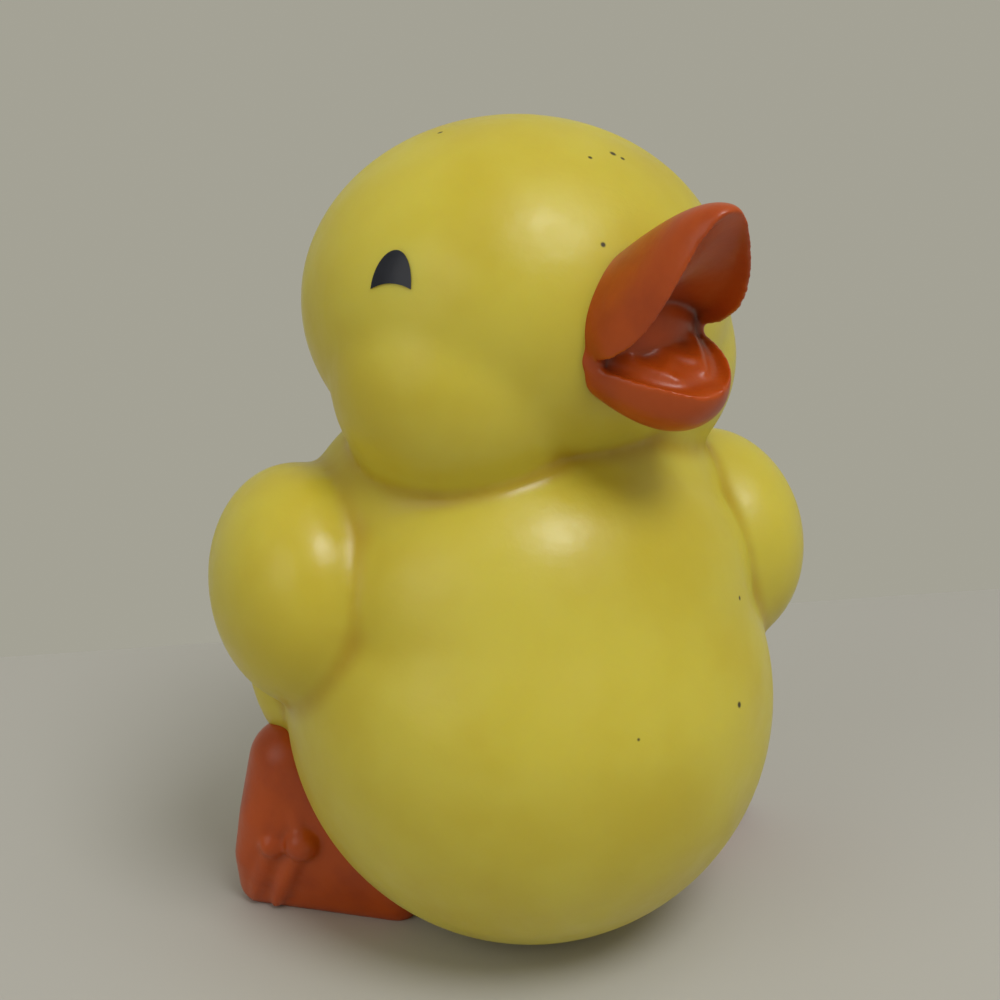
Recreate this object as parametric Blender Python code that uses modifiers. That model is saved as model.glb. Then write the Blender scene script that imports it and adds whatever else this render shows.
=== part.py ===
"""Rubber duck: a sitting duckling with an open bill, one hollow vinyl moulding with an air hole underneath.

The duck faces -Y, with its head turned a little to its own left (+X). It sits on the ground plane Z = 0.
"""

import math
from collections import namedtuple

import bmesh
import bpy
from mathutils import Matrix, Vector

MM = 0.001

# Belly: the large ball that the duck sits on
BELLY_WIDTH = 50.0 * MM
BELLY_DEPTH = 50.0 * MM
BELLY_HEIGHT = 50.5 * MM
BELLY_SINK = 1.0 * MM  # how far the ball would reach under the ground, which makes the flat base

# Bust: a low swelling that fills the crease between belly and chest
BUST_WIDTH = 45.5 * MM
BUST_DEPTH = 43.0 * MM
BUST_HEIGHT = 36.0 * MM
BUST_DROP = 13.5 * MM  # its middle under the belly's top
BUST_BACK = 0.5 * MM

# Chest: the short thick neck between belly and head
CHEST_WIDTH = 44.0 * MM
CHEST_DEPTH = 38.0 * MM
CHEST_HEIGHT = 30.0 * MM
CHEST_DROP = 7.0 * MM  # its middle under the belly's top

# Head, with a cheek on each side
HEAD_WIDTH = 42.5 * MM
HEAD_DEPTH = 41.0 * MM
HEAD_HEIGHT = 35.5 * MM
HEAD_RISE = 14.8 * MM  # its middle above the belly's top
HEAD_BACK = 4.0 * MM
HEAD_TURN = 15.0  # degrees, to the duck's own left
CHEEK_SIZE = 25.0 * MM
CHEEK_OUT = 9.0 * MM
CHEEK_FORWARD = 4.0 * MM
CHEEK_DROP = 6.0 * MM

# Wings: a drooping lobe on each side
WING_THICKNESS = 18.0 * MM
WING_LENGTH = 26.0 * MM
WING_HEIGHT = 24.0 * MM
WING_SINK = 2.5 * MM  # its middle inside the belly's flank
WING_BACK = 4.0 * MM
WING_DROP = 12.0 * MM  # its middle under the belly's top
WING_TIP_LENGTH = 24.0 * MM
WING_TIP_THICKNESS = 10.0 * MM
WING_TIP_DROP = 8.0 * MM  # the tip's middle under the wing's middle
WING_TIP_BACK = 6.0 * MM

# Tail: a blunt point behind
TAIL_WIDTH = 17.0 * MM
TAIL_LENGTH = 24.0 * MM
TAIL_HEIGHT = 11.0 * MM
TAIL_OUT = 1.0 * MM  # its middle behind the belly's back
TAIL_RISE = 3.0 * MM  # its middle above the belly's middle
TAIL_LIFT = 35.0  # degrees

# Bill: two mandibles that meet at the corners of the mouth, wide open
MOUTH_SINK = 4.5 * MM  # from the front of the head back to the root of the bill
MOUTH_DROP = 1.7 * MM  # the root under the head's middle
MOUTH_ROLL = -7.0  # degrees, down to the duck's own right
UPPER_WIDTH = 15.5 * MM
UPPER_LENGTH = 17.8 * MM
UPPER_THICKNESS = 11.0 * MM
UPPER_TIP_THICKNESS = 4.2 * MM
UPPER_LIFT = 12.0  # degrees at the root
UPPER_CURL = 52.0  # degrees more at the tip
UPPER_WIDEST = 0.33  # share of the length at which it is widest
LOWER_WIDTH = 14.5 * MM
LOWER_LENGTH = 12.2 * MM
LOWER_THICKNESS = 5.2 * MM
LOWER_TIP_THICKNESS = 5.4 * MM
LOWER_LIFT = -19.0
LOWER_CURL = 0.0
LOWER_WIDEST = 0.25
THROAT_WIDTH = 16.0 * MM
THROAT_DEPTH = 12.5 * MM
THROAT_HEIGHT = 10.0 * MM
THROAT_RISE = 0.5 * MM
GULLET_WIDTH = 14.0 * MM
GULLET_DEPTH = 15.0 * MM
GULLET_HEIGHT = 7.0 * MM
GULLET_FORWARD = 3.2 * MM
GULLET_DROP = 2.6 * MM
GULLET_SLOPE = 30.0  # degrees down towards the lower lip
BILL_BLUNTNESS = 0.85  # 1 is an oval outline, less is squarer
LIP_FLATNESS = 0.1  # how far the mouth side bulges, as a share of the outer side
LIP_FULLNESS = 0.6  # 1 is a sharp-edged lip, less is blunter

# Webbed feet: each is a skin stretched round a ball at every corner
Corner = namedtuple("Corner", "out back height size")  # the ball's middle and thickness
FOOT_CORNERS = (
    Corner(23.6 * MM, 8.0 * MM, 16.8 * MM, 8.8 * MM),
    Corner(25.8 * MM, 8.0 * MM, 11.0 * MM, 7.0 * MM),
    Corner(27.3 * MM, 9.0 * MM, 6.0 * MM, 5.2 * MM),
    Corner(26.8 * MM, 10.2 * MM, 2.0 * MM, 5.2 * MM),
    Corner(14.0 * MM, 1.9 * MM, 1.6 * MM, 4.8 * MM),
    Corner(13.0 * MM, 10.0 * MM, 3.0 * MM, 6.0 * MM),
    Corner(20.0 * MM, 15.5 * MM, 2.0 * MM, 6.0 * MM),
)
FOOT_SPREAD = {-1: 0.0, 1: 3.2 * MM}  # how much further out the foot on each side stands

# The moulding
WALL = 2.4 * MM
NECK_WALL = 4.8 * MM  # thicker behind the crease of the neck
VENT_DIAMETER = 3.0 * MM
VENT_BACK = 4.5 * MM  # the air hole behind the middle of the flat base

# How fine the surface is
SKIN_GRID = 1.3 * MM  # grid on which the forms are melted together
SKIN_SHARE = 0.27  # share of the melted skin's faces that is kept
CAVITY_GRID = 2.0 * MM
CAVITY_SHARE = 0.25
BLEND_STEPS = 4  # smoothing passes that round the creases
BLEND_STRENGTH = 0.5
BALL_SEGMENTS = 32
BALL_RINGS = 18
POLE = 0.0001  # a slice of the bill rounder than this share is its end point

BELLY_CENTRE = Vector((0, 0, BELLY_HEIGHT / 2 - BELLY_SINK))
BELLY_TOP = BELLY_HEIGHT - BELLY_SINK
HEAD_CENTRE = Vector((0, HEAD_BACK, BELLY_TOP + HEAD_RISE))
HEAD_PLACE = Matrix.Translation(HEAD_CENTRE) @ Matrix.Rotation(math.radians(HEAD_TURN), 4, "Z")
MOUTH_ROOT = HEAD_PLACE @ Matrix.Translation((0, MOUTH_SINK - HEAD_DEPTH / 2, -MOUTH_DROP))
MOUTH_PLACE = MOUTH_ROOT @ Matrix.Rotation(math.radians(MOUTH_ROLL), 4, "Y")
SIDES = (-1, 1)

Mandible = namedtuple("Mandible", "width length thickness tip_thickness lift curl widest mouth_side")
UPPER = Mandible(UPPER_WIDTH, UPPER_LENGTH, UPPER_THICKNESS, UPPER_TIP_THICKNESS,
                 UPPER_LIFT, UPPER_CURL, UPPER_WIDEST, -1)
LOWER = Mandible(LOWER_WIDTH, LOWER_LENGTH, LOWER_THICKNESS, LOWER_TIP_THICKNESS,
                 LOWER_LIFT, LOWER_CURL, LOWER_WIDEST, 1)


def clear_scene():
    for thing in list(bpy.data.objects):
        bpy.data.objects.remove(thing, do_unlink=True)


def new_collection(name):
    collection = bpy.data.collections.new(name)
    bpy.context.scene.collection.children.link(collection)
    return collection


def vinyl_material(name, colour, roughness):
    material = bpy.data.materials.new(name)
    material.use_nodes = True
    shader = material.node_tree.nodes["Principled BSDF"]
    shader.inputs["Base Color"].default_value = (*colour, 1.0)
    shader.inputs["Roughness"].default_value = roughness
    shader.inputs["Metallic"].default_value = 0.0
    return material


def at(x, y, z):
    return Matrix.Translation((x, y, z))


def tilt(degrees, axis):
    return Matrix.Rotation(math.radians(degrees), 4, axis)


def add_ball(bm, size, place):
    """An oval ball of the given width, depth and height."""
    stretch = Matrix.Diagonal((*(length / 2 for length in size), 1.0))
    bmesh.ops.create_uvsphere(bm, u_segments=BALL_SEGMENTS, v_segments=BALL_RINGS, radius=1.0,
                              matrix=place @ stretch)


def add_belly_and_chest(bm):
    add_ball(bm, (BELLY_WIDTH, BELLY_DEPTH, BELLY_HEIGHT), Matrix.Translation(BELLY_CENTRE))
    add_ball(bm, (BUST_WIDTH, BUST_DEPTH, BUST_HEIGHT), at(0, BUST_BACK, BELLY_TOP - BUST_DROP))
    add_ball(bm, (CHEST_WIDTH, CHEST_DEPTH, CHEST_HEIGHT), at(0, HEAD_BACK, BELLY_TOP - CHEST_DROP))


def add_head(bm):
    add_ball(bm, (HEAD_WIDTH, HEAD_DEPTH, HEAD_HEIGHT), HEAD_PLACE)
    for side in SIDES:
        cheek = at(side * CHEEK_OUT, -CHEEK_FORWARD, -CHEEK_DROP)
        add_ball(bm, (CHEEK_SIZE, CHEEK_SIZE, CHEEK_SIZE), HEAD_PLACE @ cheek)


def add_wing(bm, side):
    shoulder = at(side * (BELLY_WIDTH / 2 - WING_SINK), WING_BACK, BELLY_TOP - WING_DROP)
    add_ball(bm, (WING_THICKNESS, WING_LENGTH, WING_HEIGHT), shoulder)
    tip = shoulder @ at(0, WING_TIP_BACK, -WING_TIP_DROP)
    add_ball(bm, (WING_TIP_THICKNESS, WING_TIP_THICKNESS, WING_TIP_LENGTH), tip)


def add_tail(bm):
    root = at(0, BELLY_DEPTH / 2 + TAIL_OUT, BELLY_CENTRE.z + TAIL_RISE)
    add_ball(bm, (TAIL_WIDTH, TAIL_LENGTH, TAIL_HEIGHT), root @ tilt(TAIL_LIFT, "X"))


def add_foot(bm, side):
    """The smallest skin round the corner balls, made apart from the other forms."""
    web = bmesh.new()
    for corner in FOOT_CORNERS:
        place = at(side * (corner.out + FOOT_SPREAD[side]), corner.back, corner.height)
        add_ball(web, (corner.size,) * 3, place)
    hull = bmesh.ops.convex_hull(web, input=web.verts[:])
    inside = {item for item in hull["geom_interior"] if isinstance(item, bmesh.types.BMVert)}
    bmesh.ops.delete(web, geom=list(inside), context="VERTS")
    foot = bpy.data.meshes.new("foot")
    web.to_mesh(foot)
    web.free()
    bm.from_mesh(foot)
    bpy.data.meshes.remove(foot)


def rounded(amount, power, radius):
    """A power curve within the given radius: under 1 it makes a section squarer."""
    return radius * (abs(amount) / radius) ** power if radius > POLE else 0.0


def mandible_point(point, shape):
    """Moves a point of a unit ball, whose pole is at the tip (-Y), to its place on a mandible."""
    x, y, z = point
    share = shape.widest * (1 - y) if y > 0 else shape.widest - (1 - shape.widest) * y
    radius = max(1 - y * y, 0.0) ** 0.5
    side = x * radius ** (BILL_BLUNTNESS - 1) if radius > POLE else 0.0
    height = math.copysign(rounded(z, LIP_FULLNESS, radius), z)
    thick = shape.thickness * (1 - share) + shape.tip_thickness * share
    if z * shape.mouth_side > 0:
        thick *= LIP_FLATNESS
    rise = math.radians(shape.lift + shape.curl * share / 2)
    lean = math.radians(shape.lift + shape.curl * share)
    spine = Vector((0, -math.cos(rise), math.sin(rise))) * shape.length * share
    up = Vector((0, math.sin(lean), math.cos(lean)))
    return Vector((side * shape.width / 2, 0, 0)) + spine + up * height * thick


def add_mandible(bm, shape):
    """A ball bent along its length, and nearly flat on the side that faces the mouth."""
    made = bmesh.ops.create_uvsphere(bm, u_segments=BALL_SEGMENTS, v_segments=BALL_RINGS, radius=1.0,
                                     matrix=tilt(90, "X"))
    for vert in made["verts"]:
        vert.co = MOUTH_PLACE @ mandible_point(vert.co, shape)


def add_bill(bm):
    """The two mandibles, the throat behind them, and the gullet that slopes down to the lower lip."""
    add_mandible(bm, UPPER)
    add_mandible(bm, LOWER)
    add_ball(bm, (THROAT_WIDTH, THROAT_DEPTH, THROAT_HEIGHT), MOUTH_PLACE @ at(0, 0, THROAT_RISE))
    gullet = MOUTH_PLACE @ at(0, -GULLET_FORWARD, -GULLET_DROP) @ tilt(GULLET_SLOPE, "X")
    add_ball(bm, (GULLET_WIDTH, GULLET_DEPTH, GULLET_HEIGHT), gullet)


def object_from(bm, name, collection):
    mesh = bpy.data.meshes.new(name)
    bm.to_mesh(mesh)
    bm.free()
    thing = bpy.data.objects.new(name, mesh)
    collection.objects.link(thing)
    return thing


def melt(thing, grid, share):
    """Melts overlapping balls into one closed surface, and rounds its creases."""
    merge = thing.modifiers.new("melt", "REMESH")
    merge.mode = "VOXEL"
    merge.voxel_size = grid
    merge.use_smooth_shade = True
    blend = thing.modifiers.new("blend", "SMOOTH")
    blend.factor = BLEND_STRENGTH
    blend.iterations = BLEND_STEPS
    thin = thing.modifiers.new("thin", "DECIMATE")
    thin.ratio = share


def make_skin(collection):
    """The outer form of the whole duck."""
    bm = bmesh.new()
    add_belly_and_chest(bm)
    add_head(bm)
    add_bill(bm)
    add_tail(bm)
    for side in SIDES:
        add_wing(bm, side)
        add_foot(bm, side)
    skin = object_from(bm, "duck", collection)
    melt(skin, SKIN_GRID, SKIN_SHARE)
    return skin


def make_cavity(collection):
    """The air space: one wall inside the belly and head, and narrower at the neck."""
    bm = bmesh.new()
    inset = WALL * 2
    add_ball(bm, (BELLY_WIDTH - inset, BELLY_DEPTH - inset, BELLY_HEIGHT - inset - BELLY_SINK),
             Matrix.Translation(BELLY_CENTRE + Vector((0, 0, BELLY_SINK / 2))))
    add_ball(bm, (HEAD_WIDTH - inset, HEAD_DEPTH - inset, HEAD_HEIGHT - inset), HEAD_PLACE)
    add_ball(bm, (CHEST_WIDTH - NECK_WALL * 2, CHEST_DEPTH - NECK_WALL * 2, CHEST_HEIGHT),
             at(0, HEAD_BACK, BELLY_TOP - CHEST_DROP + WALL))
    cavity = object_from(bm, "cavity", collection)
    melt(cavity, CAVITY_GRID, CAVITY_SHARE)
    return cavity


def make_vent(collection):
    """A drill that reaches from under the ground to the middle of the belly."""
    bm = bmesh.new()
    bmesh.ops.create_cone(bm, cap_ends=True, segments=BALL_SEGMENTS, radius1=VENT_DIAMETER / 2,
                          radius2=VENT_DIAMETER / 2, depth=BELLY_HEIGHT, matrix=at(0, VENT_BACK, 0))
    return object_from(bm, "vent", collection)


def make_ground(collection):
    """A block under Z = 0 that cuts the belly and the soles flat."""
    bm = bmesh.new()
    reach = (BELLY_WIDTH + BELLY_DEPTH + BELLY_HEIGHT) * 2
    bmesh.ops.create_cube(bm, size=reach, matrix=at(0, 0, -reach / 2))
    return object_from(bm, "ground", collection)


def cut_away(body, tool):
    boolean = body.modifiers.new(tool.name, "BOOLEAN")
    boolean.object = tool
    boolean.operation = "DIFFERENCE"
    boolean.solver = "EXACT"
    tool.hide_render = True
    tool.display_type = "WIRE"


def main():
    clear_scene()
    parts = new_collection("rubber_duck")
    cutters = new_collection("cutters")
    duck = make_skin(parts)
    duck.data.materials.append(vinyl_material("yellow_vinyl", (0.85, 0.72, 0.08), 0.35))
    for tool in (make_ground(cutters), make_cavity(cutters), make_vent(cutters)):
        cut_away(duck, tool)


main()
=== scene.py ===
# %% [markdown]
# # A soft vinyl duckling
# The duck is one hollow moulding of soft yellow vinyl. Its bill and webbed feet are sprayed
# orange-red and its eyes are two printed black half-moons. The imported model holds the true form
# with few faces. Here each painted region becomes a fine mesh of its own, so that the paint edges
# stay crisp, and gets a finish made of nodes.

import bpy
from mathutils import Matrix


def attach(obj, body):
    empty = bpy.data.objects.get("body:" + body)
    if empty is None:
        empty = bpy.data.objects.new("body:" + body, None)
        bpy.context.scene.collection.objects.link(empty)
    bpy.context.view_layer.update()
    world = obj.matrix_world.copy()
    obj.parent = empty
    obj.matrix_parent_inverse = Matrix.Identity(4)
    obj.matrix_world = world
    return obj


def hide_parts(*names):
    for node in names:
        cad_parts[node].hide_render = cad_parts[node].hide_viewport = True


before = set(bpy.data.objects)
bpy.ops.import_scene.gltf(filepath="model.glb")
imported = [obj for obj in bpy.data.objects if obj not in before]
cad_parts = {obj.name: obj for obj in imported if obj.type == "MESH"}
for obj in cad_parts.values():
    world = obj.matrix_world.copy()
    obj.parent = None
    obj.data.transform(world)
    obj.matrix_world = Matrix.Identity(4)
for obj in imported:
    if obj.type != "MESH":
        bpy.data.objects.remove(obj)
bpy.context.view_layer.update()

# %% Modules and units
import math
from collections import namedtuple

import bmesh
import bpy
import numpy as np
from mathutils import Matrix, Vector
from mathutils.bvhtree import BVHTree

MM = 0.001
SIDES = (-1, 1)
SIDE_NAMES = {-1: "right", 1: "left"}

# %% [markdown]
# ## Forms from balls
# A vinyl duck starts as a clay model of swollen, rounded lumps that melt into each other. A cage
# with subdivision could give the same form, but each crease would need its own loop of edges.
# Overlapping balls need none: a voxel remesh takes their common outside, and smoothing rounds the
# creases as a thumb would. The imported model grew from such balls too, with fewer faces and a
# plainer bill.

# %% Helpers: place and stretch a ball


def at(x, y, z):
    return Matrix.Translation((x, y, z))


def tilt(degrees, axis):
    return Matrix.Rotation(math.radians(degrees), 4, axis)


BALL_FINENESS = 6


def add_ball(bm, size, place):
    """An oval ball of the given width, depth and height."""
    stretch = Matrix.Diagonal((*(length / 2 for length in size), 1.0))
    bmesh.ops.create_icosphere(bm, subdivisions=BALL_FINENESS, radius=1.0, matrix=place @ stretch)


def add_spoke(bm, start, end, thickness):
    """A long ball that reaches from one point to another."""
    along = end - start
    turn = along.to_track_quat("Z", "Y").to_matrix().to_4x4()
    middle = Matrix.Translation((start + end) / 2)
    add_ball(bm, (thickness, thickness, along.length + thickness), middle @ turn)


# %% Helpers: melt the balls together and finish a piece


def melted(bm, grid, passes):
    """The common outside of overlapping balls, as a smooth bmesh with an even grid of faces."""
    mesh = bpy.data.meshes.new("lumps")
    bm.to_mesh(mesh)
    bm.free()
    lumps = bpy.data.objects.new("lumps", mesh)
    bpy.context.scene.collection.objects.link(lumps)
    merge = lumps.modifiers.new("melt", "REMESH")
    merge.mode = "VOXEL"
    merge.voxel_size = grid
    blend = lumps.modifiers.new("blend", "SMOOTH")
    blend.factor = 0.5
    blend.iterations = passes
    graph = bpy.context.evaluated_depsgraph_get()
    skin = bmesh.new()
    skin.from_mesh(lumps.evaluated_get(graph).data)
    bpy.data.objects.remove(lumps, do_unlink=True)
    bpy.data.meshes.remove(mesh)
    return skin


def cut_flat(bm):
    """Cuts everything under the ground plane away, closes the cut and returns the new faces."""
    everything = bm.verts[:] + bm.edges[:] + bm.faces[:]
    cut = bmesh.ops.bisect_plane(bm, geom=everything, plane_co=(0, 0, 0), plane_no=(0, 0, 1),
                                 clear_inner=True)
    rim = [part for part in cut["geom_cut"] if isinstance(part, bmesh.types.BMEdge)]
    return bmesh.ops.holes_fill(bm, edges=rim, sides=0)["faces"]


def sink_hole(bm, flat, diameter, depth, place):
    """Gives a flat face a round blind hole."""
    border = flat.edges[:]
    bmesh.ops.delete(bm, geom=[flat], context="FACES_ONLY")
    edge = bmesh.ops.create_circle(bm, segments=HOLE_STEPS, radius=diameter / 2, matrix=place)
    ring = list({line for vert in edge["verts"] for line in vert.link_edges})
    bmesh.ops.triangle_fill(bm, use_beauty=True, edges=border + ring)
    tube = bmesh.ops.extrude_edge_only(bm, edges=ring)["geom"]
    inner = [part for part in tube if isinstance(part, bmesh.types.BMVert)]
    bmesh.ops.translate(bm, verts=inner, vec=(0, 0, depth))
    bmesh.ops.contextual_create(bm, geom=inner)


def finished(bm, name):
    """Puts the mesh in the scene as a piece that rides with the duck's one body."""
    bmesh.ops.recalc_face_normals(bm, faces=bm.faces[:])
    mesh = bpy.data.meshes.new(name)
    bm.to_mesh(mesh)
    bm.free()
    mesh.shade_smooth()
    piece = bpy.data.objects.new(name, mesh)
    bpy.context.scene.collection.objects.link(piece)
    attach(piece, "root")
    print(name, "has", sum(len(face.vertices) - 2 for face in mesh.polygons), "triangles")
    return piece


# %% [markdown]
# ## Belly, chest, head, wings and tail
# The yellow moulding is one unbroken skin. The belly is nearly a ball and the chest sinks into it,
# the head is wider than high with full cheeks, and the wings droop like small pears. The grid is
# fine enough for smooth highlights and the smoothing passes round the creases over about 2 mm.

# %% Sizes of the yellow moulding
BELLY = Vector((50.0, 50.0, 50.5)) * MM
BELLY_SINK = 1.0 * MM
BELLY_TOP = BELLY.z - BELLY_SINK
BELLY_PLACE = at(0, 0, BELLY.z / 2 - BELLY_SINK)
BUST = Vector((45.5, 43.0, 36.0)) * MM
BUST_DROP = 13.5 * MM
BUST_BACK = 0.5 * MM
BUST_CREASE = Vector((0.0, -20.0, 39.0)) * MM
BUST_REACH = Vector((26.0, 14.0, 12.0)) * MM
BUST_PASSES = 250
CHEST = Vector((44.0, 38.0, 30.0)) * MM
CHEST_DROP = 7.0 * MM
HEAD = Vector((42.5, 41.0, 35.5)) * MM
HEAD_RISE = 14.8 * MM
HEAD_BACK = 4.0 * MM
HEAD_TURN = 15.0
HEAD_PLACE = at(0, HEAD_BACK, BELLY_TOP + HEAD_RISE) @ tilt(HEAD_TURN, "Z")
CHEEK = Vector((25.0, 25.0, 25.0)) * MM
CHEEK_OUT = 9.0 * MM
CHEEK_FORWARD = 4.0 * MM
CHEEK_DROP = 6.0 * MM
WING = Vector((18.0, 26.0, 24.0)) * MM
WING_SINK = 2.5 * MM
WING_BACK = 4.0 * MM
WING_DROP = 12.0 * MM
WING_TIP = Vector((10.0, 10.0, 24.0)) * MM
WING_TIP_DROP = 8.0 * MM
WING_TIP_BACK = 6.0 * MM
TAIL = Vector((17.0, 24.0, 11.0)) * MM
TAIL_OUT = 1.0 * MM
TAIL_RISE = 3.0 * MM
TAIL_LIFT = 35.0


def wing_place(side):
    return at(side * (BELLY.x / 2 - WING_SINK), WING_BACK, BELLY_TOP - WING_DROP)


def yellow_forms():
    """Every ball of the yellow moulding: a size and a place."""
    tail_place = at(0, BELLY.y / 2 + TAIL_OUT, BELLY.z / 2 - BELLY_SINK + TAIL_RISE)
    forms = [
        (BELLY, BELLY_PLACE),
        (BUST, at(0, BUST_BACK, BELLY_TOP - BUST_DROP)),
        (CHEST, at(0, HEAD_BACK, BELLY_TOP - CHEST_DROP)),
        (HEAD, HEAD_PLACE),
        (TAIL, tail_place @ tilt(TAIL_LIFT, "X")),
    ]
    for side in SIDES:
        forms.append((CHEEK, HEAD_PLACE @ at(side * CHEEK_OUT, -CHEEK_FORWARD, -CHEEK_DROP)))
        forms.append((WING, wing_place(side)))
        forms.append((WING_TIP, wing_place(side) @ at(0, WING_TIP_BACK, -WING_TIP_DROP)))
    return forms


# %% Melt the yellow moulding
BODY_GRID = 0.5 * MM
BODY_PASSES = 45
VENT_DIAMETER = 3.0 * MM
VENT_BACK = 4.5 * MM
VENT_DEPTH = 6.0 * MM
HOLE_STEPS = 32
BODY_REACH = 60

body_mesh = bmesh.new()
for size, place in yellow_forms():
    add_ball(body_mesh, size, place)
body_mesh = melted(body_mesh, BODY_GRID, BODY_PASSES)
soles = cut_flat(body_mesh)
sink_hole(body_mesh, soles[0], VENT_DIAMETER, VENT_DEPTH, at(0, VENT_BACK, 0))
print("yellow moulding melted,", len(body_mesh.faces), "faces")

# %% [markdown]
# ## Averages over neighbouring points
# Two jobs need the average of the points around each point. Moving the points towards it softens
# one region further, and the distance to it tells how hollow the surface is. Creases look deeper
# and warmer than open skin, because light gets lost between two lumps, and the finishes paint
# that shade into the colour of the creases. A node could look for nearby surfaces, but a value
# kept on the mesh is quicker and stays with the model.

# %% Helpers: average, soften, measure the hollows
SOFT_EDGE = 1.5


def read_vectors(collection, name, count=3):
    flat = np.empty(len(collection) * count, dtype=np.int32 if name == "vertices" else np.float32)
    collection.foreach_get(name, flat)
    return flat.reshape(-1, count)


def averaged(mesh, points, passes, share=None):
    """The points after some passes towards their neighbours; a share of 0 holds a point still."""
    ends = read_vectors(mesh.edges, "vertices", 2)
    start, end = np.concatenate([ends, ends[:, ::-1]]).T
    neighbours = np.bincount(start, minlength=len(points))[:, None]
    step = 0.5 if share is None else 0.5 * share[:, None]
    smooth = points.copy()
    for _ in range(passes):
        sums = [np.bincount(start, weights=smooth[end, axis], minlength=len(points))
                for axis in range(3)]
        smooth += (np.stack(sums, axis=1) / neighbours - smooth) * step
    return smooth


def soften(piece, middle, reach, passes):
    """Smooths the surface round a point, less and less towards the given reach."""
    points = read_vectors(piece.data.vertices, "co").astype(float)
    away = np.linalg.norm((points - middle) / reach, axis=1)
    share = np.clip(SOFT_EDGE * (1 - away), 0, 1)
    smooth = averaged(piece.data, points, passes, share)
    piece.data.vertices.foreach_set("co", smooth.astype(np.float32).ravel())
    piece.data.update()
    farthest = float(np.linalg.norm(smooth - points, axis=1).max())
    print(piece.name, "moved by up to", round(farthest / MM, 2), "mm")


def keep_hollowness(piece, passes):
    """Stores how many millimetres each point lies under its smoothed surroundings."""
    mesh = piece.data
    points = read_vectors(mesh.vertices, "co").astype(float)
    normals = read_vectors(mesh.vertex_normals, "vector")
    hollow = np.einsum("ij,ij->i", averaged(mesh, points, passes) - points, normals) / MM
    layer = mesh.attributes.new("hollow", "FLOAT", "POINT")
    layer.data.foreach_set("value", hollow.astype(np.float32))
    print(piece.name, "hollows reach", round(float(np.percentile(hollow, 99.5)), 2), "mm")


body_tree = BVHTree.FromBMesh(body_mesh)
body = finished(body_mesh, "duck_body")
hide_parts("duck")
soften(body, BUST_CREASE, BUST_REACH, BUST_PASSES)
keep_hollowness(body, BODY_REACH)

# %% [markdown]
# ## The open bill
# Each half of the bill is a ball drawn out along its length: its side towards the mouth is nearly
# flat with a rolled lip round it, and its outer side is full. An extruded outline would have hard
# edges, and a bent ball keeps the soft, cast look. A throat ball joins the halves, a small ball
# rounds each corner of the mouth, a sloping flat one is the mouth's floor, and three thin wrinkles
# on each side of it run from the corner to the front.

# %% Sizes of the bill
MOUTH_SINK = 4.5 * MM
MOUTH_DROP = 1.6 * MM
MOUTH_TURN = 0.5
MOUTH_ROLL = -9.0
MOUTH_ROOT = HEAD_PLACE @ at(0, MOUTH_SINK - HEAD.y / 2, -MOUTH_DROP)
MOUTH_PLACE = MOUTH_ROOT @ tilt(MOUTH_TURN, "Z") @ tilt(MOUTH_ROLL, "Y")
Mandible = namedtuple(
    "Mandible", "width taper length thickness tip_thickness lift curl widest droop mouth_side")
UPPER = Mandible(
    width=15.2 * MM, taper=0.42, length=19.8 * MM, thickness=6.0 * MM, tip_thickness=5.0 * MM,
    lift=30.0, curl=17.0, widest=0.3, droop=2.8 * MM, mouth_side=-1)
LOWER = Mandible(
    width=14.2 * MM, taper=0.25, length=12.4 * MM, thickness=2.6 * MM, tip_thickness=7.8 * MM,
    lift=-15.0, curl=0.0, widest=0.25, droop=0.0, mouth_side=1)
THROAT = Vector((14.6, 12.0, 11.5)) * MM
THROAT_RISE = 1.4 * MM
MOUTH_CORNER = Vector((2.6, 3.8, 3.0)) * MM
CORNER_OUT = 5.7 * MM
CORNER_FORWARD = 2.5 * MM
CORNER_RISE = 0.1 * MM
WRINKLE = 1.3 * MM
WRINKLES = (
    (Vector((5.2, -2.0, 1.0)) * MM, Vector((-3.5, -5.5, -0.1)) * MM),
    (Vector((5.2, -2.5, 0.6)) * MM, Vector((-2.0, -8.0, -1.4)) * MM),
    (Vector((5.2, -3.0, 0.2)) * MM, Vector((1.5, -9.0, -2.1)) * MM),
)
GULLET = Vector((12.2, 16.0, 5.0)) * MM
GULLET_FORWARD = 3.4 * MM
GULLET_DROP = 1.7 * MM
GULLET_SLOPE = 24.0
BILL_BLUNTNESS = 0.9
LIP_FULLNESS = 0.66
LIP_ROLL = 0.16
LIP_SPAN = 0.6
PALATE_HOLLOW = 0.06
POLE = 0.0001
SPINE_STEPS = 400


def spine(shape):
    """How far forward and up a mandible's middle line reaches at each share of its length."""
    shares = np.linspace(0, 1, SPINE_STEPS)
    angles = np.radians(shape.lift + shape.curl * shares)
    step = shape.length / SPINE_STEPS
    return shares, np.cumsum(np.cos(angles)) * step, np.cumsum(np.sin(angles)) * step


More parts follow.
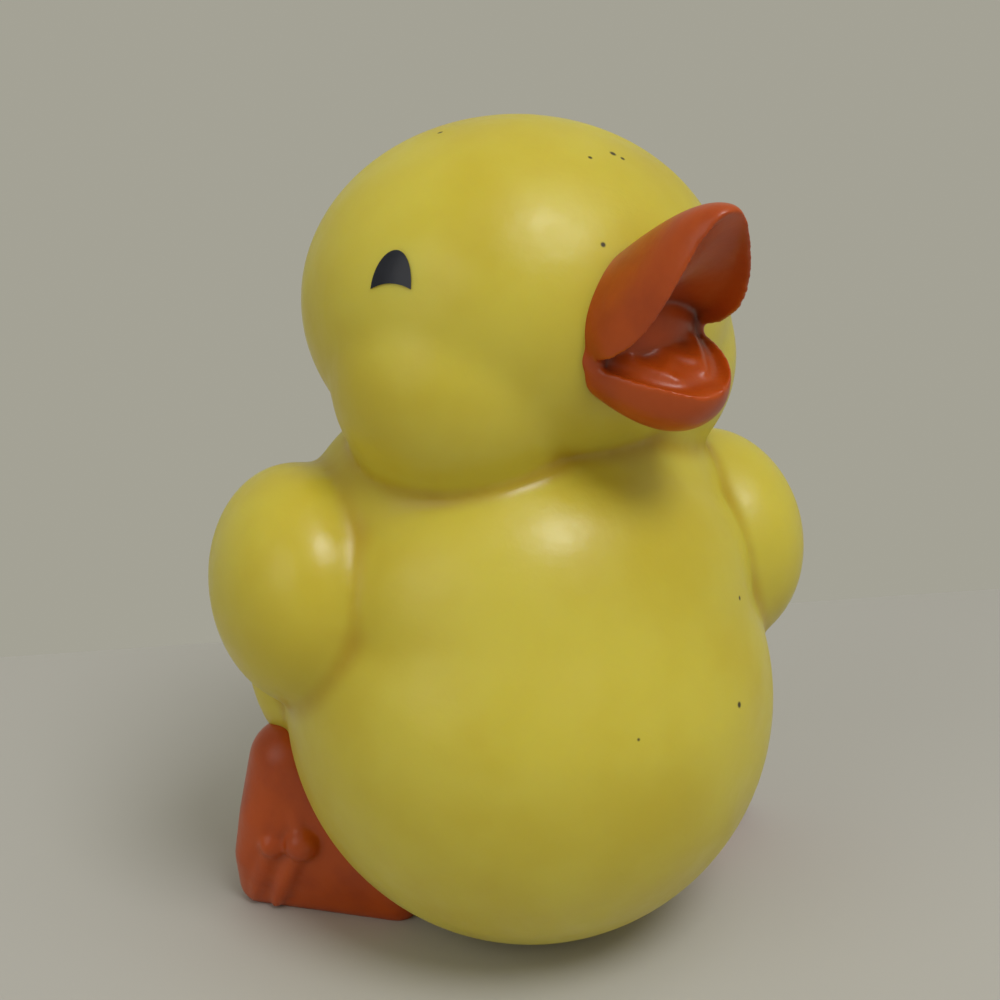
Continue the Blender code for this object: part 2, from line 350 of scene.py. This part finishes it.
def mandible_point(point, shape, line):
    """Moves a point of a unit ball, whose pole is at the tip (-Y), to its place on a mandible."""
    x, y, z = point
    share = shape.widest * (1 - y) if y > 0 else shape.widest - (1 - shape.widest) * y
    radius = max(1 - y * y, 0.0) ** 0.5
    side = x * radius ** (BILL_BLUNTNESS - 1) if radius > POLE else 0.0
    droop = shape.droop * side ** 2 * 4 * share * (1 - share)
    side *= 1 - shape.taper * share
    inward = abs(z) / radius if radius > POLE else 0.0
    full = radius * inward ** LIP_FULLNESS
    if z * shape.mouth_side > 0:
        lip = LIP_ROLL * math.sin(math.pi * min(inward / LIP_SPAN, 1.0))
        full = radius * (lip - PALATE_HOLLOW * inward ** 2)
    thick = shape.thickness * (1 - share) + shape.tip_thickness * share
    lean = math.radians(shape.lift + shape.curl * share)
    up = Vector((0, math.sin(lean), math.cos(lean)))
    shares, forward, rise = line
    middle = Vector((side * shape.width / 2, -np.interp(share, shares, forward),
                     np.interp(share, shares, rise)))
    return middle + up * (math.copysign(1, z) * full * thick - droop)


# %% Melt the bill
BILL_GRID = 0.22 * MM
BILL_PASSES = 32
BILL_REACH = 200

bill_mesh = bmesh.new()
for shape in (UPPER, LOWER):
    line = spine(shape)
    made = bmesh.ops.create_icosphere(bill_mesh, subdivisions=BALL_FINENESS, radius=1.0)
    for vert in made["verts"]:
        vert.co = MOUTH_PLACE @ mandible_point(vert.co, shape, line)
add_ball(bill_mesh, THROAT, MOUTH_PLACE @ at(0, 0, THROAT_RISE))
gullet_place = MOUTH_PLACE @ at(0, -GULLET_FORWARD, -GULLET_DROP) @ tilt(GULLET_SLOPE, "X")
add_ball(bill_mesh, GULLET, gullet_place)
for side in SIDES:
    corner_place = MOUTH_PLACE @ at(side * CORNER_OUT, -CORNER_FORWARD, CORNER_RISE)
    add_ball(bill_mesh, MOUTH_CORNER, corner_place)
    mirror = Matrix.Diagonal((side, 1, 1))
    for start, end in WRINKLES:
        add_spoke(bill_mesh, MOUTH_PLACE @ (mirror @ start), MOUTH_PLACE @ (mirror @ end), WRINKLE)
bill_mesh = melted(bill_mesh, BILL_GRID, BILL_PASSES)
bill = finished(bill_mesh, "duck_bill")
keep_hollowness(bill, BILL_REACH)

# %% [markdown]
# ## Webbed feet
# Each foot is a solid wedge beside the belly: a web stretched from the ankle down to the toes. The
# smallest skin round a ball at each corner, its convex hull, gives just such a stretched web. Two
# toes with round knuckles lie on its outer half.

# %% Sizes of the feet
Corner = namedtuple("Corner", "out back height size")
FOOT_CORNERS = (
    Corner(23.6 * MM, 8.0 * MM, 16.8 * MM, 8.8 * MM),
    Corner(25.8 * MM, 8.0 * MM, 11.0 * MM, 7.0 * MM),
    Corner(27.3 * MM, 9.0 * MM, 6.0 * MM, 5.2 * MM),
    Corner(26.8 * MM, 10.2 * MM, 2.0 * MM, 5.2 * MM),
    Corner(14.0 * MM, 1.9 * MM, 1.6 * MM, 4.8 * MM),
    Corner(13.0 * MM, 10.0 * MM, 3.0 * MM, 6.0 * MM),
    Corner(20.0 * MM, 15.5 * MM, 2.0 * MM, 6.0 * MM),
)
FOOT_SPREAD = {-1: 0.0, 1: 3.2 * MM}
ANKLE_FRONT = Vector((24.2, 5.2, 15.5)) * MM
Toe = namedtuple("Toe", "knuckle tip size")
TOES = (
    Toe(Vector((26.5, 5.3, 8.8)) * MM, Vector((28.0, 8.7, 1.2)) * MM, 3.0 * MM),
    Toe(Vector((23.7, 3.7, 9.2)) * MM, Vector((26.0, 6.8, 1.2)) * MM, 3.9 * MM),
)
TOE_THICKNESS = 2.4 * MM

# %% Melt the feet
FOOT_GRID = 0.26 * MM
FOOT_PASSES = 12
FOOT_REACH = 60


def foot_mesh(side):
    bm = bmesh.new()
    for corner in FOOT_CORNERS:
        size = Vector((corner.size,) * 3)
        add_ball(bm, size, at(side * corner.out, corner.back, corner.height))
    hull = bmesh.ops.convex_hull(bm, input=bm.verts[:])
    inside = {item for item in hull["geom_interior"] if isinstance(item, bmesh.types.BMVert)}
    bmesh.ops.delete(bm, geom=list(inside), context="VERTS")
    mirror = Matrix.Diagonal((side, 1, 1))
    for toe in TOES:
        add_spoke(bm, mirror @ ANKLE_FRONT, mirror @ toe.knuckle, TOE_THICKNESS)
        add_spoke(bm, mirror @ toe.knuckle, mirror @ toe.tip, TOE_THICKNESS)
        add_ball(bm, Vector((toe.size,) * 3), Matrix.Translation(mirror @ toe.knuckle))
    bmesh.ops.translate(bm, verts=bm.verts[:], vec=(side * FOOT_SPREAD[side], 0, 0))
    bm = melted(bm, FOOT_GRID, FOOT_PASSES)
    cut_flat(bm)
    return bm


feet = [finished(foot_mesh(side), "duck_foot_" + SIDE_NAMES[side]) for side in SIDES]
for foot in feet:
    keep_hollowness(foot, FOOT_REACH)

# %% [markdown]
# ## Eyes
# Each eye is a black half-moon printed on the vinyl. It is made as a disc with a flattened lower
# edge, cast onto the head along lines from the head's middle, and raised by a paint's thickness.

# %% Print the eyes
EYE_TURN = 67.0
EYE_RISE = 3.4 * MM
EYE_WIDTH = 4.3 * MM
EYE_HEIGHT = 3.7 * MM
EYE_LIFT = 0.1 * MM
EYE_STEPS = 64
EYE_RINGS = 6
EYE_INSET = 0.15
EYE_HOLLOW = 0.14
EYE_SLOPE = -2.0


def half_moon(x, y):
    """Moves a point of a unit disc to its place in a half-moon with a slightly hollow lower edge."""
    top = max(1 - x * x, 0.0) ** 0.5
    low = EYE_HOLLOW * (1 - x * x)
    share = (y / top + 1) / 2 if top > POLE else 0.5
    return x, low + (top - low) * share


def eye_mesh(side):
    bm = bmesh.new()
    bmesh.ops.create_circle(bm, cap_ends=True, segments=EYE_STEPS, radius=1.0)
    for ring in range(EYE_RINGS):
        middle = max(bm.faces, key=lambda face: len(face.verts))
        bmesh.ops.inset_individual(bm, faces=[middle], thickness=EYE_INSET)
    bmesh.ops.poke(bm, faces=[max(bm.faces, key=lambda face: len(face.verts))])
    turn = math.radians(EYE_TURN) * side
    outward = Vector((math.sin(turn), -math.cos(turn), 0)) * HEAD.x / 2
    along = Vector((math.cos(turn), math.sin(turn), 0)) * side
    slope = Matrix.Rotation(math.radians(EYE_SLOPE), 2)
    for vert in bm.verts:
        x, y = slope @ Vector(half_moon(vert.co.x, vert.co.y))
        spot = outward + along * x * EYE_WIDTH / 2
        spot.z = EYE_RISE + y * EYE_HEIGHT
        ray = (HEAD_PLACE.to_3x3() @ spot).normalized()
        hit = body_tree.ray_cast(HEAD_PLACE.translation + ray * HEAD.x, -ray)
        vert.co = hit[0] + ray * EYE_LIFT
    return bm


eyes = [finished(eye_mesh(side), "duck_eye_" + SIDE_NAMES[side]) for side in SIDES]

# %% [markdown]
# ## Finishes
# Soft vinyl lets light in: it scatters under the skin, which hides small shadows and warms the
# creases; the vinyl's creases are also painted amber as painted shade. The bill and feet are painted
# darker in their creases and grooves, as painted shade. All patterns read Object coordinates in
# metres, so that they stay on the surface.

# %% Helper: a shader with nodes


class Finish:
    """A Principled material, with short calls for the nodes that feed it."""

    def __init__(self, name, roughness, **sockets):
        self.material = bpy.data.materials.new(name)
        self.material.use_nodes = True
        self.nodes = self.material.node_tree.nodes
        self.links = self.material.node_tree.links
        self.shader = self.nodes["Principled BSDF"]
        self.shader.inputs["Roughness"].default_value = roughness
        for socket, value in sockets.items():
            self.shader.inputs[socket.replace("_", " ")].default_value = value
        self.place = self.nodes.new("ShaderNodeTexCoord").outputs["Object"]

    def noise(self, size, detail=3.0, roughness=0.5):
        node = self.nodes.new("ShaderNodeTexNoise")
        node.inputs["Scale"].default_value = 1.0 / size
        node.inputs["Detail"].default_value = detail
        node.inputs["Roughness"].default_value = roughness
        self.links.new(self.place, node.inputs["Vector"])
        return node.outputs["Fac"]

    def attribute(self, name):
        node = self.nodes.new("ShaderNodeAttribute")
        node.attribute_name = name
        return node.outputs["Fac"]

    def between(self, value, low, high, new_low=0.0, new_high=1.0):
        node = self.nodes.new("ShaderNodeMapRange")
        node.interpolation_type = "SMOOTHSTEP"
        for socket, number in zip(("From Min", "From Max", "To Min", "To Max"),
                                  (low, high, new_low, new_high)):
            node.inputs[socket].default_value = number
        self.links.new(value, node.inputs["Value"])
        return node.outputs["Result"]

    def mix(self, amount, first, second):
        node = self.nodes.new("ShaderNodeMix")
        node.data_type = "RGBA"
        self.links.new(amount, node.inputs["Factor"])
        for socket, colour in zip(("A", "B"), (first, second)):
            target = next(item for item in node.inputs if item.name == socket and item.type == "RGBA")
            if isinstance(colour, tuple):
                target.default_value = (*colour, 1.0)
            else:
                self.links.new(colour, target)
        return next(item for item in node.outputs if item.type == "RGBA")

    def near_points(self, spots, blur):
        """1 on each of the given spots and 0 away from them."""
        total = None
        for spot, radius in spots:
            away = self.nodes.new("ShaderNodeVectorMath")
            away.operation = "DISTANCE"
            away.inputs[1].default_value = spot
            self.links.new(self.place, away.inputs[0])
            here = self.between(away.outputs["Value"], radius * blur, radius, 1.0, 0.0)
            if total:
                both = self.nodes.new("ShaderNodeMath")
                both.operation = "MAXIMUM"
                self.links.new(total, both.inputs[0])
                self.links.new(here, both.inputs[1])
                here = both.outputs["Value"]
            total = here
        return total

    def bump(self, height, strength, depth):
        node = self.nodes.new("ShaderNodeBump")
        node.inputs["Strength"].default_value = strength
        node.inputs["Distance"].default_value = depth
        self.links.new(height, node.inputs["Height"])
        self.links.new(node.outputs["Normal"], self.shader.inputs["Normal"])

    def feed(self, socket, value):
        self.links.new(value, self.shader.inputs[socket])


# %% Yellow vinyl
SPECK_BLUR = 0.4
# Specks of dirt that the photograph shows: across, back and up on the duck, and the radius, in mm
SPECKS = (
    (0.8, -14.8, 71.4, 0.32),
    (5.1, -7.0, 78.7, 0.42),
    (5.9, -7.3, 78.2, 0.3),
    (2.3, -8.3, 78.4, 0.28),
    (-8.5, 1.4, 80.4, 0.35),
    (12.9, -20.8, 29.6, 0.4),
    (0.9, -24.4, 29.7, 0.25),
    (15.4, -14.6, 37.6, 0.3),
)
GRIME = (0.05, 0.035, 0.01)
LEMON = (0.62, 0.53, 0.06)
BUTTER = (0.57, 0.46, 0.035)
# Amber is painted shade: the vinyl's colour in its creases, where light gets lost between two lumps.
AMBER_SHADE = (0.46, 0.30, 0.01)

CLOUD_SIZE = 14 * MM
RUBBED_SIZE = 5 * MM
PORE_SIZE = 1.5 * MM

vinyl = Finish("duck_vinyl", 0.4, Subsurface_Weight=0.5, Subsurface_Scale=0.004, IOR=1.45)
vinyl.shader.inputs["Subsurface Radius"].default_value = (1.0, 0.7, 0.15)
cloudy = vinyl.between(vinyl.noise(CLOUD_SIZE), 0.35, 0.7)
flesh = vinyl.mix(cloudy, LEMON, BUTTER)
# The creases get painted shade: the colour turns amber where the surface lies hollow.
painted_crease_shade = vinyl.between(vinyl.attribute("hollow"), 0.03, 0.5)
skin_colour = vinyl.mix(painted_crease_shade, flesh, AMBER_SHADE)
spots = [(body_tree.find_nearest(Vector(speck[:3]) * MM)[0], speck[3] * MM) for speck in SPECKS]
vinyl.feed("Base Color", vinyl.mix(vinyl.near_points(spots, SPECK_BLUR), skin_colour, GRIME))
vinyl.feed("Roughness", vinyl.between(vinyl.noise(RUBBED_SIZE), 0.3, 0.7, 0.3, 0.45))
vinyl.bump(vinyl.noise(PORE_SIZE, detail=5.0), strength=0.12, depth=0.3 * MM)
body.data.materials.append(vinyl.material)
print("yellow vinyl uses", len(vinyl.nodes), "nodes and has", len(spots), "specks")

# %% Orange-red paint
ORANGE = (0.46, 0.070, 0.004)
BRICK = (0.28, 0.034, 0.006)
# Umber is painted shade: the colour of the bill and feet in their creases and grooves.
UMBER_SHADE = (0.12, 0.020, 0.008)

PATCH_SIZE = 5 * MM
GRAIN_SIZE = 0.9 * MM

paint = Finish("bill_paint", 0.34, Subsurface_Weight=0.1, Subsurface_Scale=0.001,
               Specular_IOR_Level=0.4)
patchy = paint.between(paint.noise(PATCH_SIZE, detail=4.0), 0.4, 0.75, 0.0, 0.5)
coat = paint.mix(patchy, ORANGE, BRICK)
# The grooves get painted shade: the paint turns dark umber where the surface lies hollow.
painted_groove_shade = paint.between(paint.attribute("hollow"), 0.0, 0.8)
paint.feed("Base Color", paint.mix(painted_groove_shade, coat, UMBER_SHADE))
paint.bump(paint.noise(GRAIN_SIZE, detail=4.0), strength=0.15, depth=0.2 * MM)
for piece in [bill, *feet]:
    piece.data.materials.append(paint.material)
print("orange-red paint uses", len(paint.nodes), "nodes on", [piece.name for piece in [bill, *feet]])

# %% Black print
INK = (0.006, 0.007, 0.012)
INK_SHEEN = (0.012, 0.014, 0.024)
DOT_SIZE = 1.0 * MM

ink = Finish("eye_paint", 0.22, IOR=1.5, Specular_IOR_Level=0.35)
ink.feed("Base Color", ink.mix(ink.noise(DOT_SIZE), INK, INK_SHEEN))
for piece in eyes:
    piece.data.materials.append(ink.material)
print("black print is on", [piece.name for piece in eyes])

# %% [markdown]
# ## Floor, light and camera
# The duck stands on a pale shelf. The shelf ends a little behind it, where the photograph shows the
# foot of a wall, and the even light of the world stands for the wall: a real wall there would hide
# the duck from behind. Large soft lamps show the vinyl as it is. The camera looks down on the duck
# from its right, as in the photograph, from about 13 cm away.

# %% Floor
FLOOR_WIDTH = 3.0
FLOOR_FRONT = 1.5
FLOOR_BACK = 0.081
FLOOR_TURN = -9.2
GREY = (0.47, 0.46, 0.43)
PALE_GREY = (0.50, 0.49, 0.46)
SHADE_SIZE = 0.15

floor_mesh = bmesh.new()
corners = [(side * FLOOR_WIDTH / 2, back, 0) for side, back in
           ((-1, -FLOOR_FRONT), (1, -FLOOR_FRONT), (1, FLOOR_BACK), (-1, FLOOR_BACK))]
turn = tilt(FLOOR_TURN, "Z")
floor_mesh.faces.new([floor_mesh.verts.new(turn @ Vector(corner)) for corner in corners])
floor_data = bpy.data.meshes.new("floor")
floor_mesh.to_mesh(floor_data)
floor_mesh.free()
floor = bpy.data.objects.new("floor", floor_data)
bpy.context.scene.collection.objects.link(floor)
shelf = Finish("floor", 0.7)
shelf.feed("Base Color", shelf.mix(shelf.noise(SHADE_SIZE), GREY, PALE_GREY))
floor.data.materials.append(shelf.material)
print("shelf ends", round(FLOOR_BACK / MM), "mm behind the duck's middle")

# %% Lamps and world


def area_lamp(name, size, power, place, aim):
    lamp = bpy.data.lights.new(name, "AREA")
    lamp.shape = "DISK"
    lamp.size = size
    lamp.energy = power
    holder = bpy.data.objects.new(name, lamp)
    holder.location = place
    holder.rotation_euler = (Vector(aim) - Vector(place)).to_track_quat("-Z", "Y").to_euler()
    bpy.context.scene.collection.objects.link(holder)


DUCK_MIDDLE = (0, 0, 0.04)
area_lamp("key", size=0.22, power=1.05, place=(0.06, -0.30, 0.48), aim=DUCK_MIDDLE)
area_lamp("fill", size=0.5, power=0.6, place=(-0.55, -0.25, 0.35), aim=DUCK_MIDDLE)

sun = bpy.data.lights.new("ceiling", "SUN")
sun.energy = 0.55
sun.angle = math.radians(40)
ceiling = bpy.data.objects.new("ceiling", sun)
ceiling.rotation_euler = (math.radians(20), math.radians(12), 0)
bpy.context.scene.collection.objects.link(ceiling)

world = bpy.data.worlds.new("studio")
world.use_nodes = True
bpy.context.scene.world = world
sky = world.node_tree.nodes["Background"]
sky.inputs["Color"].default_value = (0.69, 0.67, 0.56, 1.0)
sky.inputs["Strength"].default_value = 0.54
print("lamps are", [lamp.name for lamp in bpy.data.lights])

# %% Camera
CAMERA_PLACE = Vector((-47.3, -121.8, 82.5)) * MM
CAMERA_AIM = Vector((-4.75, -4.35, 46.55)) * MM
LENS = 49.0

camera = bpy.data.cameras.new("camera")
camera.lens = LENS
camera.clip_start = 0.01
camera_object = bpy.data.objects.new("camera", camera)
camera_object.location = CAMERA_PLACE
camera_object.rotation_euler = (CAMERA_AIM - CAMERA_PLACE).to_track_quat("-Z", "Y").to_euler()
bpy.context.scene.collection.objects.link(camera_object)
bpy.context.scene.camera = camera_object
bpy.context.scene.view_settings.view_transform = "Standard"
print("camera stands", round((CAMERA_PLACE - CAMERA_AIM).length, 3), "m from what it looks at")
